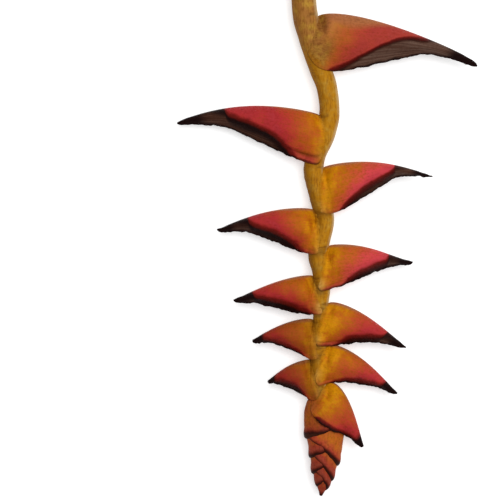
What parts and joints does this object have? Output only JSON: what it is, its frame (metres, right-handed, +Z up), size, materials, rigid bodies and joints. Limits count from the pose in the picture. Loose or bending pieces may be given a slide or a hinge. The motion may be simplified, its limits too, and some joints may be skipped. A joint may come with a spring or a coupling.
{
  "type": "heliconia flower",
  "caption": "Cut heliconia flower head lying flat: a zigzag stem, two rows of folded boat-shaped bracts with dark margins and beaks, and a bud of young bracts.",
  "frame": {"origin": "on the surface that the flower lies on, under the middle of its length and width", "axes": "+Y along the stem, from the bud's tip to the cut end; +Z up from the surface; +X across, towards the side of the first and longest bract"},
  "size_m": [0.225, 0.4431, 0.0224],
  "materials": {
    "stem": "matt golden-brown plant stem with fine lengthwise fibres",
    "bract": "satin waxy bract, gold at the root, crimson along the middle, near-black along the margin and beak",
    "bud": "satin young bracts, orange-red with dark margins"
  },
  "bodies": {
    "root": {"stem": "stem", "bract_01": "bract", "bract_02": "bract", "bract_03": "bract", "bract_04": "bract", "bract_05": "bract", "bract_06": "bract", "bract_07": "bract", "bract_08": "bract", "bract_09": "bract", "bract_10": "bract", "bract_11": "bract", "terminal_bud": "bud"}
  },
  "joints": []
}
